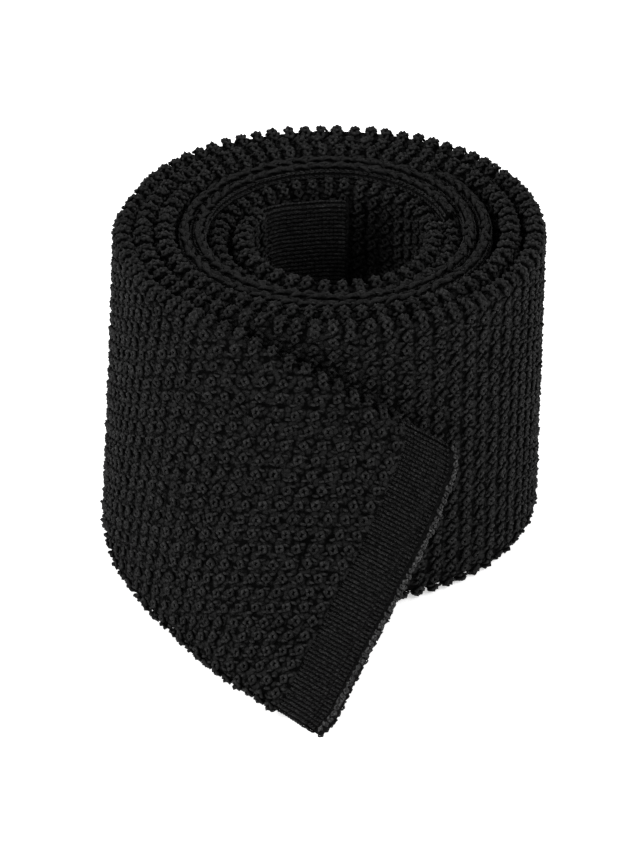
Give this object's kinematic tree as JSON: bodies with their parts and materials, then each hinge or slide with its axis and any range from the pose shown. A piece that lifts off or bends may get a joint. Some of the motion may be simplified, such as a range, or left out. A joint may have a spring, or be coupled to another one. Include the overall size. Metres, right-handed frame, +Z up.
{
  "type": "necktie",
  "caption": "Square-ended knitted necktie rolled up from its narrow end, standing on its long edge, with the wide end lying loose and leaning on the roll.",
  "frame": {"origin": "middle of the bounding box, at the height of the long edge that the rolled tie stands on", "axes": "+Z up along the roll's axis and across the blade's width, the loose wide end leans out towards -Y, +X to the right"},
  "size_m": [0.0912, 0.1342, 0.066],
  "materials": {
    "crunchy_knit": "textured silk knit, soft sheen",
    "plain_knit": "smooth stocking-stitch silk knit",
    "silk_thread": "twisted silk thread",
    "satin_tape": "woven satin tape"
  },
  "bodies": {
    "roll": {"tail_blade": "crunchy_knit", "tail_neck_seam": "silk_thread", "neckband": "plain_knit", "front_neck_seam": "silk_thread", "front_blade": "crunchy_knit", "keeper_loop": "satin_tape", "keeper_tack_lower": "silk_thread", "keeper_tack_upper": "silk_thread", "blank_label": "satin_tape"},
    "loose_end": {"front_loose_panel": "crunchy_knit", "front_hem_band": "plain_knit", "front_cast_off_edge": "silk_thread", "front_hem_stitches": "silk_thread"},
    "tail_end": {"tail_hem_band": "plain_knit", "tail_cast_off_edge": "silk_thread", "tail_hem_stitches": "silk_thread"}
  },
  "joints": [
    {"name": "loose_end_fold", "type": "hinge", "parent": "roll", "child": "loose_end", "pos_m": [-0.04575, 0.0206, 0], "axis": [0, 0, -1], "range_deg": [0, 35]},
    {"name": "tail_end_fold", "type": "hinge", "parent": "roll", "child": "tail_end", "pos_m": [-0.01209, 0.03507, 0], "axis": [0, 0, -1], "range_deg": [-12, 25]}
  ]
}
